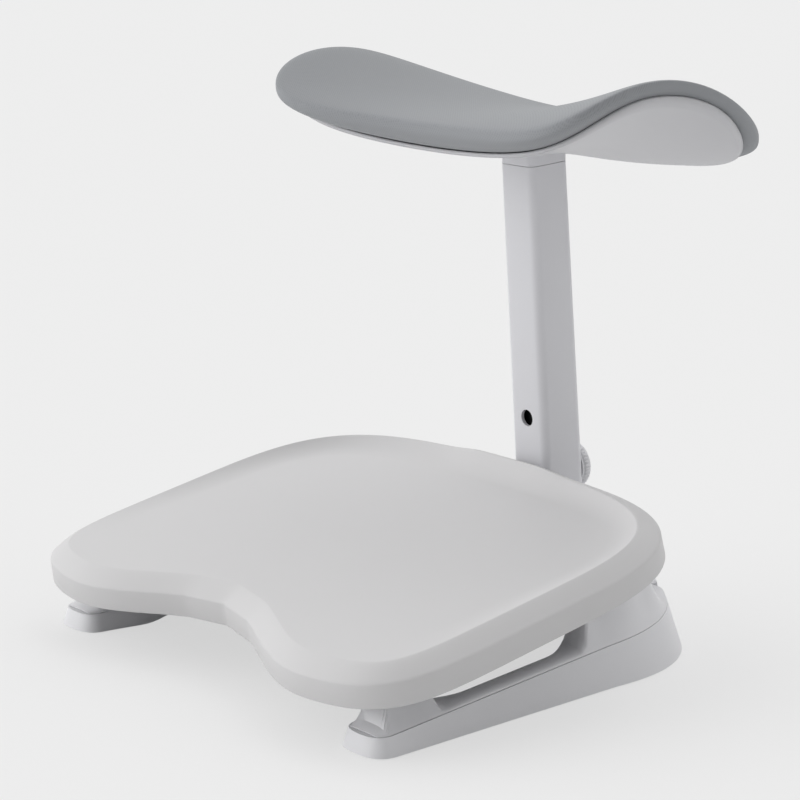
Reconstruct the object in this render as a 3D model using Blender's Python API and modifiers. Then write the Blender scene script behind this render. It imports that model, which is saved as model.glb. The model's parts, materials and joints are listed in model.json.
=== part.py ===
"""Two-level footrest: a tilted foot deck on a U-shaped base, and a winged leg pad on a sliding post.

Metres, +Z up. The user sits on the -Y side and X = 0 is the plane of symmetry.
"""
import math

import bmesh
import bpy
from mathutils import Matrix, Vector

# Clearances
FIT = 0.0003
SOFT_GAP = 0.0006
SEAM_STEP = 0.0006
SCREW_GAP = 0.0003

# Foot deck, measured along its slope from its reference line
DECK_WIDTH = 0.460
DECK_FRONT = 0.1607
DECK_REAR = 0.1795
DECK_HEIGHT = 0.0834
DECK_TILT = math.radians(11.4)
DECK_WALL = 0.0178
DECK_DRAFT = 0.001
DECK_SKIN = 0.003
FRONT_SQUARENESS = 6.0
REAR_SQUARENESS = 3.3
NOTCH_DEPTH = 0.042
NOTCH_HALF = 0.154
NOTCH_POWER = 2.3
RIM_WIDTH = 0.0165
RIM_HEIGHT = 0.0095
RIM_ROUND = 1.25
DISH_DEPTH = 0.010
DISH_SLOPE = 0.024
DISH_START = 0.050
REAR_RISE = 0.004
REAR_RISE_HALF = 0.055
UNDERPAN_RECESS = 0.001
UNDERPAN_SKIN = 0.003
DECK_POINTS = 120
DECK_RIM_SHARES = (0.12, 0.3, 0.5, 0.75, 0.9, 1.0)
DECK_SLOPE_SHARES = (0.3, 0.65, 1.0)
DECK_FLOOR_SHARES = (0.7, 0.4)
OUTLINE_STEPS = 300

# Base, a U open to the front
DECK_OVERHANG = 0.023
RAIL_WIDTH = 0.049
FOOT_LINE = -0.118
NOSE_REACH = 0.018
NOSE_SQUARENESS = 2.6
SHOULDER_TAPER = 0.0165
SHOULDER_LINE = 0.100
REAR_MARGIN = 0.0485
REAR_ROUNDNESS = 2.40
BAY_TAPER = 0.026
BAY_LINE = 0.110
BAY_REACH = 0.050
BAY_SQUARENESS = 4.0
BASE_LIFT = 0.001
BASE_SKIN = 0.003
BASE_DRAFT = 0.30
SEAM_HEIGHT = 0.0228
SEAM_SLOPE = 0.068
PLATE_SKIN = 0.003
FOOT_PAD_RADIUS = 0.012
FOOT_PAD_HEIGHT = 0.003

# Base covers, standing on the seam and carrying the deck
NOSE_CAP = 0.001
NOSE_RISE = 0.022
RAIL_CAP = 0.004
RAIL_ROUND = 0.018
RAIL_CREST = 0.002
RAIL_WAIST = 0.021
WAIST_FRONT = -0.088
WAIST_REAR = 0.098
WAIST_SPREAD = 0.052
WAIST_STEPS = 38
TAIL_CAP = 0.005
COVER_SKIN = 0.0025
COVER_FLARE = 0.45
COVER_WAIST = 0.016
COVER_CURVE = 1.6
COVER_SETBACK = 0.008
COVER_LEVELS = (0.15, 0.4, 0.65, 0.85, 0.96, 1.0)
NECK_FRONT = -0.111
NECK_REAR = -0.081
BLOCK_FRONT = 0.100
BLOCK_REAR = 0.140
NECK_SPREAD = 0.016
BLOCK_SPREAD = 0.034
TAIL_SPREAD = 0.060
TAIL_WIDTH = 0.0144
HOUSING_HALF = 0.112
HOUSING_FLAT = 0.0795
HOUSING_FLAT_FRONT = 0.182
HOUSING_RAMP = 0.036
HOUSING_CROWN = 0.045
HOUSING_LEAN = 0.18
HOUSING_GAP = 0.0009

# Post, in a frame that leans with it towards the user: Z along the post, origin on the lock screw's axis
POST_LEAN = math.radians(4.5)
POST_LINE = 0.2015
LOCK_HEIGHT = 0.112
SLEEVE_FOOT = -0.0295
SLEEVE_HEAD = 0.2505
SLEEVE_SIZE = 0.0412
SLEEVE_HEAD_SIZE = 0.039
SLEEVE_RADIUS = 0.007
SLEEVE_SKIN = 0.003
PASSAGE_GAP = 0.0013
INDEX_HOLE_HEIGHT = 0.048
INDEX_HOLE_RADIUS = 0.0067
MAST_SIZE = 0.028
MAST_RADIUS = 0.004
MAST_SKIN = 0.002
MAST_FOOT = -0.1025
MAST_HEAD = 0.190
GUIDE_HEIGHT = 0.016
CAP_HEAD = 0.010
CAP_SPIGOT = 0.018
COLLAR_SKIN = 0.003
COLLAR_FOOT = -0.104
COLLAR_HEAD = -0.045
FLANGE_LINE = 0.2065
FLANGE_HALF_X = 0.042
FLANGE_HALF_Y = 0.0295
FLANGE_THICK = 0.004
FLANGE_SCREW_INSET = 0.008
BOLT_HEIGHT = -0.062
BOLT_RADIUS = 0.003
BOLT_HEAD_RADIUS = 0.0055
BOLT_HEAD = 0.004

# Lock in the post's rear wall
LOCK_RADIUS = 0.004
INSERT_RADIUS = 0.0055
INSERT_FLANGE_RADIUS = 0.0075
INSERT_FLANGE = 0.0014
TIP_RADIUS = 0.0036
TIP_LENGTH = 0.0012
KNOB_RADIUS = 0.0192
KNOB_RIDGE = 0.0009
KNOB_RIDGES = 40
KNOB_LENGTH = 0.0072
KNOB_COLLAR = 0.0014
KNOB_COLLAR_RADIUS = 0.0176
KNOB_EDGE = 0.0018
KNOB_FACE_RING = 0.0045
KNOB_FACE_DISH = 0.0008

# Leg pad
PAD_HALF = 0.1935
PAD_LINE = 0.188
PAD_REACH = 0.1236
PAD_SQUARENESS = 3.9
PAD_SWEEP = 0.0415
PAD_HEIGHT = 0.4064
PAD_WING = 0.0393
PAD_VALLEY = 0.95
PAD_PITCH = 0.0131
PAD_CROWN = 0.0145
PAD_WING_CROWN = 0.0371
PAD_EDGE = 0.0166
PAD_HULL = 0.017
PAD_HULL_POWER = 5.4
PAD_ROLL = 4.0
PAD_SKIN = 0.0015
PAD_SEGMENTS = 56
PAD_RINGS = 9
PAD_RING_POWER = 2.2
TUCK_SHARE = 0.88
SHELL_SKIN = 0.003
SHELL_ACROSS = 0.985
SHELL_ALONG = 0.905
SHELL_LIP = 0.02
SHELL_RINGS = 7
SHELL_RING_POWER = 1.5
BRACKET_LENGTH = 0.032
BRACKET_SCREW_SPREAD = 0.010

# Fasteners
SCREW_RADIUS = 0.002
SCREW_HEAD_RADIUS = 0.004
SCREW_CROWN_RADIUS = 0.0032
SCREW_HEAD = 0.0025
DECK_SCREW_LENGTH = 0.012
DECK_SCREW_FRONT = -0.098
DECK_SCREW_REAR = 0.120
DECK_SCREW_INSET = 0.019
SOCKET_SCREW_LENGTH = 0.0068
PAD_SCREW_LENGTH = 0.014
PAD_SCREW_SEAT = 0.0025
PAD_SCREW_ACCESS = 0.040

ROUND_SEGMENTS = 24
CORNER_SEGMENTS = 6
SCREW_SEGMENTS = 12
CORNERS = ((-1, -1), (-1, 1), (1, -1), (1, 1))

# Sizes that follow from the ones above
PLATE_FLOOR = FOOT_PAD_HEIGHT + FIT
PLATE_TOP = PLATE_FLOOR + PLATE_SKIN
UNDERPAN_LEVEL = -DECK_WALL + UNDERPAN_RECESS
FOOT_OUTER = DECK_WIDTH / 2 - DECK_OVERHANG
FOOT_INNER = FOOT_OUTER - RAIL_WIDTH
FOOT_MIDDLE = (FOOT_OUTER + FOOT_INNER) / 2
SHOULDER_OUTER = FOOT_OUTER - SHOULDER_TAPER
BAY_HALF = FOOT_INNER - BAY_TAPER
REAR_REACH = POST_LINE + REAR_MARGIN - SHOULDER_LINE
PAD_SHARES = [1 - (k / PAD_RINGS) ** PAD_RING_POWER for k in range(PAD_RINGS)]
SHELL_SHARES = [(1 - SHELL_LIP) * (1 - (k / SHELL_RINGS) ** SHELL_RING_POWER) for k in range(SHELL_RINGS)]

for stale in list(bpy.data.objects):
    bpy.data.objects.remove(stale, do_unlink=True)

PARTS = bpy.data.collections.new("two_level_footrest")
CUTTERS = bpy.data.collections.new("footrest_cutters")
for group in (PARTS, CUTTERS):
    bpy.context.scene.collection.children.link(group)


def plastic(name, colour, roughness, metallic=0.0):
    """One Principled material."""
    made = bpy.data.materials.new(name)
    made.use_nodes = True
    shader = made.node_tree.nodes["Principled BSDF"]
    shader.inputs["Base Color"].default_value = (*colour, 1.0)
    shader.inputs["Roughness"].default_value = roughness
    shader.inputs["Metallic"].default_value = metallic
    return made


DECK_PLASTIC = plastic("deck_plastic", (0.62, 0.62, 0.63), 0.45)
SHELL_PLASTIC = plastic("shell_plastic", (0.70, 0.70, 0.72), 0.35)
GUIDE_PLASTIC = plastic("guide_plastic", (0.10, 0.10, 0.11), 0.5)
FABRIC = plastic("fabric", (0.34, 0.35, 0.36), 0.95)
FOAM = plastic("foam", (0.75, 0.72, 0.60), 0.95)
RUBBER = plastic("rubber", (0.05, 0.05, 0.05), 0.9)
BLACK_STEEL = plastic("black_steel", (0.03, 0.03, 0.03), 0.4, 1.0)
BRASS = plastic("brass", (0.70, 0.50, 0.20), 0.35, 1.0)
ZINC = plastic("zinc", (0.60, 0.60, 0.62), 0.35, 1.0)


def frame_empty(name, location, turn_x=0.0, parent=None):
    """A named frame that pieces are placed in."""
    empty = bpy.data.objects.new(name, None)
    PARTS.objects.link(empty)
    empty.parent = parent
    empty.location = location
    empty.rotation_euler = (turn_x, 0.0, 0.0)
    return empty


ROOT = frame_empty("footrest_frame", (0.0, 0.0, 0.0))
DECK_FRAME = frame_empty("deck_frame", (0.0, 0.0, DECK_HEIGHT), DECK_TILT, ROOT)
POST_FRAME = frame_empty("post_frame", (0.0, POST_LINE, LOCK_HEIGHT), POST_LEAN, ROOT)
LOCK_FRAME = frame_empty("lock_frame", (0.0, 0.0, 0.0), -math.pi / 2, POST_FRAME)


def add_object(name, mesh_data, finish, parent, cutter=False):
    """Link a bmesh as an object in its frame."""
    mesh = bpy.data.meshes.new(name)
    mesh_data.to_mesh(mesh)
    mesh_data.free()
    made = bpy.data.objects.new(name, mesh)
    (CUTTERS if cutter else PARTS).objects.link(made)
    made.parent = parent
    if cutter:
        made.hide_render = True
        made.display_type = "WIRE"
    else:
        mesh.materials.append(finish)
        mesh.shade_smooth()
        mesh.set_sharp_from_angle(angle=math.radians(35))
    return made


def boolean(piece, cutter, operation="DIFFERENCE"):
    """Cut a piece by, or join it to, a hidden shape."""
    step = piece.modifiers.new(operation.lower(), "BOOLEAN")
    step.operation = operation
    step.object = cutter
    step.solver = "EXACT"


def thicken(piece, thickness):
    """Give an open surface that faces up or out its wall, on the far side."""
    step = piece.modifiers.new("wall", "SOLIDIFY")
    step.thickness = thickness
    step.offset = -1.0
    step.use_even_offset = True


def split_quads(bm):
    """Split every quad the same way, so that skins laid on each other stay parallel."""
    quads = [face for face in bm.faces if len(face.verts) == 4]
    bmesh.ops.triangulate(bm, faces=quads, quad_method="FIXED")


def loft(rings, tips=None):
    """A closed solid through rings of equal length, its ends capped flat or drawn to two tips."""
    bm = bmesh.new()
    loops = [[bm.verts.new(point) for point in ring] for ring in rings]
    for lower, upper in zip(loops, loops[1:]):
        for k in range(len(lower)):
            n = (k + 1) % len(lower)
            bm.faces.new((lower[k], lower[n], upper[n], upper[k]))
    for loop, place in zip((loops[0], loops[-1]), tips or (None, None)):
        if place is None:
            bm.faces.new(loop)
            continue
        tip = bm.verts.new(place)
        for k in range(len(loop)):
            bm.faces.new((loop[k], loop[(k + 1) % len(loop)], tip))
    if tips:
        split_quads(bm)
    bmesh.ops.recalc_face_normals(bm, faces=bm.faces)
    return bm


def face_up(bm):
    """Turn an open surface so that most of it faces up."""
    bmesh.ops.recalc_face_normals(bm, faces=bm.faces)
    if sum(face.normal.z * face.calc_area() for face in bm.faces) < 0:
        bmesh.ops.reverse_faces(bm, faces=bm.faces)
    return bm


def closed_surface(rings, centre):
    """An open surface of closed rings, from the outermost in to a centre point."""
    bm = bmesh.new()
    loops = [[bm.verts.new(point) for point in ring] for ring in rings]
    for outer, inner in zip(loops, loops[1:]):
        for k in range(len(outer)):
            n = (k + 1) % len(outer)
            bm.faces.new((outer[k], outer[n], inner[n], inner[k]))
    tip = bm.verts.new(centre)
    last = loops[-1]
    for k in range(len(last)):
        bm.faces.new((last[k], last[(k + 1) % len(last)], tip))
    split_quads(bm)
    return face_up(bm)


def strip_surface(rows):
    """An open surface through rows of equal length."""
    bm = bmesh.new()
    lines = [[bm.verts.new(point) for point in row] for row in rows]
    for first, second in zip(lines, lines[1:]):
        for k in range(len(first) - 1):
            bm.faces.new((first[k], first[k + 1], second[k + 1], second[k]))
    return face_up(bm)


def cylinder(radius, low, high, segments=ROUND_SEGMENTS, turn=None, at=(0.0, 0.0)):
    """A primitive cylinder along Z between two heights, or along X or Y with a turn."""
    bm = bmesh.new()
    place = Matrix.Translation((at[0], at[1], (low + high) / 2))
    bmesh.ops.create_cone(bm, cap_ends=True, segments=segments, radius1=radius, radius2=radius,
                          depth=high - low, matrix=place)
    if turn is not None:
        bmesh.ops.transform(bm, matrix=turn, verts=bm.verts)
    return bm


def turned(profile, segments=ROUND_SEGMENTS, place=Matrix()):
    """A turned solid: a profile of radius and height, with both ends on the axis or capped."""
    rings = []
    for radius, height in profile:
        rings.append([place @ Vector((radius * math.cos(math.tau * k / segments),
                                      radius * math.sin(math.tau * k / segments), height))
                      for k in range(segments)])
    return loft(rings)


def screw_body(face, length, place):
    """A pan-head screw: the underside of its head at a height, its shank below."""
    return turned([(SCREW_RADIUS, face - length), (SCREW_RADIUS, face), (SCREW_HEAD_RADIUS, face),
                   (SCREW_CROWN_RADIUS, face + SCREW_HEAD)], SCREW_SEGMENTS, place)


def rounded_square(half, radius, height):
    """A ring: a square with round corners at one height."""
    ring = []
    for corner in range(4):
        start = corner * math.pi / 2
        cx = (half - radius) * (1 if corner in (0, 3) else -1)
        cy = (half - radius) * (1 if corner in (0, 1) else -1)
        for k in range(CORNER_SEGMENTS + 1):
            angle = start + k * math.pi / 2 / CORNER_SEGMENTS
            x, y = cx + radius * math.cos(angle), cy + radius * math.sin(angle)
            ring.append(Vector((x, y, height)))
    return ring


def prism(half, radius, low, high):
    """A straight post of rounded square section."""
    return loft([rounded_square(half, radius, z) for z in (low, high)])


def power_arc(half_x, half_y, squareness, start, end, steps):
    """Points of a superellipse from one angle to another."""
    points = []
    for k in range(steps + 1):
        angle = start + (end - start) * k / steps
        c, s = math.cos(angle), math.sin(angle)
        points.append((half_x * math.copysign(abs(c) ** (2 / squareness), c),
                       half_y * math.copysign(abs(s) ** (2 / squareness), s)))
    return points


def smooth(value):
    """A smooth step from 0 to 1."""
    value = min(max(value, 0.0), 1.0)
    return value * value * (3 - 2 * value)


def fall(value):
    """A step from 0 to 1 that starts at a crisp edge and ends level."""
    value = min(max(value, 0.0), 1.0)
    return 1 - (1 - value) ** 2


def evenly(points, count):
    """The same closed outline with evenly spaced points."""
    lengths = [0.0]
    closed = points + points[:1]
    for a, b in zip(closed, closed[1:]):
        lengths.append(lengths[-1] + math.dist(a, b))
    spaced, k = [], 0
    for n in range(count):
        target = lengths[-1] * n / count
        while lengths[k + 1] < target:
            k += 1
        part = (target - lengths[k]) / (lengths[k + 1] - lengths[k])
        spaced.append(tuple(p + (q - p) * part for p, q in zip(closed[k], closed[k + 1])))
    return spaced


def mirrored(half):
    """Close a half outline that starts and ends on the plane of symmetry."""
    return half + [(-x, y) for x, y in reversed(half[1:-1])]


# Foot deck


def deck_outline():
    """The deck's edge: a rounded rectangle with a broad notch in its front."""
    half_depth = (DECK_FRONT + DECK_REAR) / 2
    middle = (DECK_REAR - DECK_FRONT) / 2
    half = []
    for squareness, start in ((FRONT_SQUARENESS, -math.pi / 2), (REAR_SQUARENESS, 0.0)):
        end = start + math.pi / 2
        for x, y in power_arc(DECK_WIDTH / 2, half_depth, squareness, start, end, OUTLINE_STEPS):
            if y < 0 and x < NOTCH_HALF:
                y += NOTCH_DEPTH * math.cos(math.pi * x / NOTCH_HALF / 2) ** NOTCH_POWER
            half.append((max(x, 0.0), middle + y))
    half[0] = (0.0, half[0][1])
    half[-1] = (0.0, half[-1][1])
    return evenly(mirrored(half), DECK_POINTS)


# The origin is midway between the deck's front edge and the pad's rear edge
FRONT_EDGE = min(y for x, y in deck_outline()) * math.cos(DECK_TILT)
ROOT.location.y = -(FRONT_EDGE + PAD_LINE + PAD_REACH) / 2


def deck_ring(inset, height):
    """The outline moved in, at a height over its crease."""
    outline = deck_outline()
    ring = []
    for k, (x, y) in enumerate(outline):
        ahead = outline[(k + 1) % DECK_POINTS]
        behind = outline[k - 1]
        along = Vector((ahead[0] - behind[0], ahead[1] - behind[1])).normalized()
        px = x - along.y * inset
        py = y + along.x * inset
        ring.append(Vector((px, py, height(inset, px, py))))
    return ring


def rim_height(inset, x, y):
    """Height of the rolled rim and the dish inside it, over the crease."""
    if inset <= 0:
        return -DECK_WALL if inset < 0 else 0.0
    rolled = RIM_HEIGHT * (1 - max(1 - inset / RIM_WIDTH, 0.0) ** RIM_ROUND)
    if y > 0:
        rise = REAR_RISE / (1 + (x / REAR_RISE_HALF) ** 6)
        rolled += rise * (smooth(inset / RIM_WIDTH) - fall((inset - RIM_WIDTH) / DISH_SLOPE))
    dish_length = DECK_FRONT + DECK_REAR - DISH_START - RIM_WIDTH
    depth = DISH_DEPTH * min(max((y + DECK_FRONT - DISH_START) / dish_length, 0.0), 1.0)
    return rolled - depth * fall((inset - RIM_WIDTH) / DISH_SLOPE)


def shrunk(ring, share, height, inset):
    """The ring drawn in towards the middle of the deck, on the dish floor."""
    return [Vector((p.x * share, p.y * share, height(inset, p.x * share, p.y * share))) for p in ring]


def deck_surface(insets, height):
    """Rings of the deck from its edge inwards, then on to its middle."""
    floor = insets[-1]
    rings = [deck_ring(inset, height) for inset in insets]
    for share in DECK_FLOOR_SHARES:
        rings.append(shrunk(rings[len(insets) - 1], share, height, floor))
    return closed_surface(rings, Vector((0.0, 0.0, height(floor, 0.0, 0.0))))


def underpan_height(inset, x, y):
    """The underpan's flat underside."""
    return UNDERPAN_LEVEL


DISH_EDGE = RIM_WIDTH + DISH_SLOPE
DECK_INSETS = [-DECK_DRAFT, 0.0] + [RIM_WIDTH * share for share in DECK_RIM_SHARES]
DECK_INSETS += [RIM_WIDTH + DISH_SLOPE * share for share in DECK_SLOPE_SHARES]
deck_top = add_object("deck_top", deck_surface(DECK_INSETS, rim_height), DECK_PLASTIC, DECK_FRAME)
thicken(deck_top, DECK_SKIN)

UNDERPAN_TOP = UNDERPAN_LEVEL + UNDERPAN_SKIN
UNDERPAN_EDGE = DECK_SKIN + FIT + DECK_DRAFT * UNDERPAN_TOP / DECK_WALL
UNDERPAN_INSETS = [UNDERPAN_EDGE, RIM_WIDTH, DISH_EDGE]
underpan = deck_surface(UNDERPAN_INSETS, underpan_height)
bmesh.ops.translate(underpan, vec=(0.0, 0.0, UNDERPAN_SKIN), verts=underpan.verts)
deck_underpan = add_object("deck_underpan", underpan, GUIDE_PLASTIC, DECK_FRAME)
thicken(deck_underpan, UNDERPAN_SKIN)


# Base


def seam(y):
    """Height of the seam between the base and its covers."""
    return SEAM_HEIGHT + SEAM_SLOPE * y


def rail_inner(y, inset):
    """X of a rail's inner side, moved into the rail: tapered to the rear and waisted at the side opening."""
    length = BAY_LINE - FOOT_LINE
    front, rear = (y - WAIST_FRONT) / WAIST_SPREAD, (WAIST_REAR - y) / WAIST_SPREAD
    away = min(max(min(front, rear), 0.0), 1.0)
    # The slope of the smooth step, so that the inset is measured square to the side
    bend = math.copysign(6 * away * (1 - away) * RAIL_WAIST / WAIST_SPREAD, rear - front)
    skew = math.hypot(1.0, bend - BAY_TAPER / length)
    share = min(max((y - FOOT_LINE) / length, 0.0), 1.0)
    return FOOT_INNER - BAY_TAPER * share + RAIL_WAIST * smooth(away) + inset * skew


def base_outline(inset):
    """The U outline, moved into its material by an inset that may change along Y."""
    half = []
    quarter = math.pi / 2
    for x, y in power_arc(SHOULDER_OUTER, REAR_REACH, REAR_ROUNDNESS, quarter, 0.0, 30):
        step = inset(SHOULDER_LINE + y)
        half.append((x * (1 - step / SHOULDER_OUTER), SHOULDER_LINE + y * (1 - step / REAR_REACH)))
    nose_half = RAIL_WIDTH / 2
    for x, y in power_arc(nose_half, NOSE_REACH, NOSE_SQUARENESS, 0.0, -math.pi, 24):
        step = inset(FOOT_LINE + y)
        half.append((FOOT_MIDDLE + x * (1 - step / nose_half), FOOT_LINE + y * (1 - step / NOSE_REACH)))
    for k in range(1, WAIST_STEPS):
        y = FOOT_LINE + (BAY_LINE - FOOT_LINE) * k / WAIST_STEPS
        half.append((rail_inner(y, inset(y)), y))
    for x, y in power_arc(BAY_HALF, BAY_REACH, BAY_SQUARENESS, 0.0, quarter, 16):
        step = inset(BAY_LINE + y)
        half.append((x * (1 + step / BAY_HALF), BAY_LINE + y * (1 + step / BAY_REACH)))
    half[0] = (0.0, half[0][1])
    half[-1] = (0.0, half[-1][1])
    return half


def draft(y):
    """How far the base's walls lean in at the seam."""
    return BASE_DRAFT * seam(y)


def u_ring(inset, height):
    """The whole U at a height that may change along Y."""
    half = base_outline(inset)
    outline = half + [(-x, y) for x, y in reversed(half) if x > 0]
    return [Vector((x, y, height(y))) for x, y in outline]


def base_shell():
    """The base's walls and top as an open surface."""
    bm = bmesh.new()
    low = [bm.verts.new(p) for p in u_ring(lambda y: 0.0, lambda y: BASE_LIFT)]
    high = [bm.verts.new(p) for p in u_ring(draft, seam)]
    for k in range(len(low)):
        n = (k + 1) % len(low)
        bm.faces.new((low[k], low[n], high[n], high[k]))
    bm.faces.new(high)
    return face_up(bm)


base_frame = add_object("base_frame", base_shell(), SHELL_PLASTIC, ROOT)
thicken(base_frame, BASE_SKIN)
PLATE_INSET = BASE_SKIN * math.hypot(1.0, BASE_DRAFT) + BASE_DRAFT * (PLATE_TOP - BASE_LIFT) + FIT
plate_rings = [u_ring(lambda y: PLATE_INSET, lambda y, z=z: z) for z in (PLATE_FLOOR, PLATE_TOP)]
base_plate = add_object("base_plate", loft(plate_rings), GUIDE_PLASTIC, ROOT)

FOOT_PAD_PLACES = {"front": (FOOT_MIDDLE, FOOT_LINE + FOOT_PAD_RADIUS),
                   "rear": (HOUSING_HALF, SHOULDER_LINE + REAR_REACH / 2)}
for end, (x, y) in FOOT_PAD_PLACES.items():
    for side, sign in (("left", -1), ("right", 1)):
        pad = cylinder(FOOT_PAD_RADIUS, 0.0, FOOT_PAD_HEIGHT, at=(sign * x, y))
        add_object(f"foot_pad_{end}_{side}", pad, RUBBER, ROOT)


# Base covers


def outer_edge(y, inset):
    """X of the base's outer edge at a line across it."""
    if y > SHOULDER_LINE:
        share = min((y - SHOULDER_LINE) / (REAR_REACH - inset), 1.0)
        return (SHOULDER_OUTER - inset) * (1 - share ** REAR_ROUNDNESS) ** (1 / REAR_ROUNDNESS)
    share = (y - FOOT_LINE) / (SHOULDER_LINE - FOOT_LINE)
    straight = FOOT_OUTER + (SHOULDER_OUTER - FOOT_OUTER) * max(share, 0.0) - inset
    return straight - nose_setback(y, inset)


def inner_edge(y, inset):
    """X of the base's inner edge at a line across it, or of the housing's side behind the bay."""
    straight = rail_inner(y, inset)
    side = HOUSING_HALF + FIT
    if y > BAY_LINE:
        share = min((y - BAY_LINE) / (BAY_REACH + inset), 1.0)
        straight = max((BAY_HALF + inset) * (1 - share ** BAY_SQUARENESS) ** (1 / BAY_SQUARENESS), side)
    return straight + nose_setback(y, inset)


def nose_setback(y, inset):
    """How far the round front end of a rail pulls in its sides."""
    if y > FOOT_LINE:
        return 0.0
    half = RAIL_WIDTH / 2 - inset
    share = min((FOOT_LINE - y) / (NOSE_REACH - inset), 1.0)
    return half * (1 - (1 - share ** NOSE_SQUARENESS) ** (1 / NOSE_SQUARENESS))


def under_deck(y):
    """Height of the underpan's underside over a line across the base."""
    level = (UNDERPAN_LEVEL - FIT) / math.cos(DECK_TILT)
    return DECK_HEIGHT + level + y * math.tan(DECK_TILT)


def cover_lift(y):
    """How much of the way from the rail's cap to the deck a cover rises at a line across it."""
    neck = min(smooth((y - NECK_FRONT) / NECK_SPREAD + 1), smooth((NECK_REAR - y) / NECK_SPREAD + 1))
    block = min(smooth((y - BLOCK_FRONT) / BLOCK_SPREAD + 1), smooth((BLOCK_REAR - y) / TAIL_SPREAD + 1))
    return max(neck, block) ** COVER_CURVE


def cover_top(y):
    """Height of a cover's top at a line across it."""
    rise = smooth((y - COVER_NOSE) / NOSE_RISE)
    tail = smooth((y - BLOCK_REAR) / TAIL_SPREAD)
    cap = seam(y) + NOSE_CAP + (RAIL_CAP - NOSE_CAP) * rise + (TAIL_CAP - RAIL_CAP) * tail
    return cap + (under_deck(y) - cap) * cover_lift(y)


def cover_ring(y, skin):
    """One section of the right cover: domed on the rail, flared under the deck. A skin makes it a hollow."""
    low, top = seam(y) + FIT, cover_top(y)
    step = draft(y) + SEAM_STEP
    inner, outer = inner_edge(y, step), outer_edge(y, step)
    lift = cover_lift(y)
    flare = RAIL_ROUND + (COVER_FLARE * (top - low) - RAIL_ROUND) * lift
    spare = RAIL_CREST + (COVER_WAIST - RAIL_CREST) * lift
    lean = min(flare, max(outer - inner - spare, 0.0) * (1 + lift) / 2)
    crest = max(outer - inner - lean - RAIL_CREST, 0.0)
    inner_lean = min(RAIL_ROUND * (1 - lift), crest, inner - HOUSING_HALF - FIT)
    bends = []
    for share in COVER_LEVELS:
        flared = 1 - (1 - share) ** 2
        domed = 1 - math.sqrt(1 - share ** 2)
        bends.append((low + (top - low) * share, domed + (flared - domed) * lift))
    section = [(outer, low)]
    section += [(outer - lean * bend, z) for z, bend in bends]
    middle = len(section)
    section += [(inner + inner_lean * bend, z) for z, bend in reversed(bends)]
    section.append((inner, low))
    return [Vector((x - skin if k < middle else x + skin, y, z - skin)) for k, (x, z) in enumerate(section)]


def cover_stations(front, rear, count):
    """Lines across a cover from its front to its rear."""
    return [front + (rear - front) * k / count for k in range(count + 1)]


def cover_tail():
    """The line where a cover has narrowed to its tail, between the base's round rear and the housing."""
    step = draft(SHOULDER_LINE + REAR_REACH) + SEAM_STEP
    share = (HOUSING_HALF + FIT + TAIL_WIDTH) / (SHOULDER_OUTER - step)
    return SHOULDER_LINE + (REAR_REACH - step) * (1 - share ** REAR_ROUNDNESS) ** (1 / REAR_ROUNDNESS)


COVER_NOSE = FOOT_LINE - NOSE_REACH + COVER_SETBACK
right_rings = [cover_ring(y, 0.0) for y in cover_stations(COVER_NOSE, cover_tail(), 52)]
hollows = {"neck": (NECK_FRONT - COVER_SKIN, NECK_REAR + COVER_SKIN),
           "block": (BLOCK_FRONT - BLOCK_SPREAD / 4, BLOCK_REAR + TAIL_SPREAD / 4)}
for side, sign in (("left", -1), ("right", 1)):
    flip = Matrix.Diagonal((sign, 1, 1, 1))
    body = loft([[flip @ p for p in ring] for ring in right_rings])
    cover = add_object(f"base_cover_{side}", body, SHELL_PLASTIC, ROOT)
    for label, (front, rear) in hollows.items():
        rings = [[flip @ p for p in cover_ring(y, COVER_SKIN)] for y in cover_stations(front, rear, 12)]
        hollow = add_object(f"{label}_hollow_{side}", loft(rings), None, ROOT, cutter=True)
        boolean(cover, hollow)


# Rear housing around the mast


def housing_top(x, y):
    """Height of the housing: level under the post, and down to the covers' tops at its sides."""
    ramp = smooth((HOUSING_FLAT_FRONT - y) / HOUSING_RAMP)
    middle = HOUSING_FLAT + (under_deck(y) - HOUSING_FLAT) * ramp
    side = smooth((abs(x) - HOUSING_CROWN) / (HOUSING_HALF - HOUSING_CROWN))
    return middle + (cover_top(y) - middle) * side


def housing_profile(x):
    """The housing's section, front to rear, at a line along the base."""
    front = BAY_LINE + BAY_REACH + draft(BAY_LINE + BAY_REACH) + SEAM_STEP
    step = draft(SHOULDER_LINE + REAR_REACH) + SEAM_STEP
    share = 1 - (abs(x) / (SHOULDER_OUTER - step)) ** REAR_ROUNDNESS
    rear = SHOULDER_LINE + (REAR_REACH - step) * share ** (1 / REAR_ROUNDNESS)
    head = front + HOUSING_LEAN * (housing_top(x, front) - seam(front))
    back = rear - HOUSING_LEAN * (housing_top(x, rear) - seam(rear))
    profile = [(front, seam(front) + HOUSING_GAP)]
    for k in range(HOUSING_STATIONS + 1):
        y = head + (back - head) * k / HOUSING_STATIONS
        profile.append((y, housing_top(x, y)))
    return profile + [(rear, seam(rear) + HOUSING_GAP)]


HOUSING_STATIONS = 12
rows = []
for k in range(HOUSING_STATIONS + 1):
    x = HOUSING_HALF * (2 * k / HOUSING_STATIONS - 1)
    rows.append([Vector((x, y, z)) for y, z in housing_profile(x)])
rear_housing = add_object("rear_housing", strip_surface(rows), SHELL_PLASTIC, ROOT)
thicken(rear_housing, COVER_SKIN)
MAST_HALF = MAST_SIZE / 2
MAST_CLEAR = MAST_HALF + PASSAGE_GAP
mast_passage = prism(MAST_CLEAR, MAST_RADIUS, COLLAR_HEAD, 0.0)
mast_cutter = add_object("mast_cutter", mast_passage, None, POST_FRAME, cutter=True)
boolean(rear_housing, mast_cutter)

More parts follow.
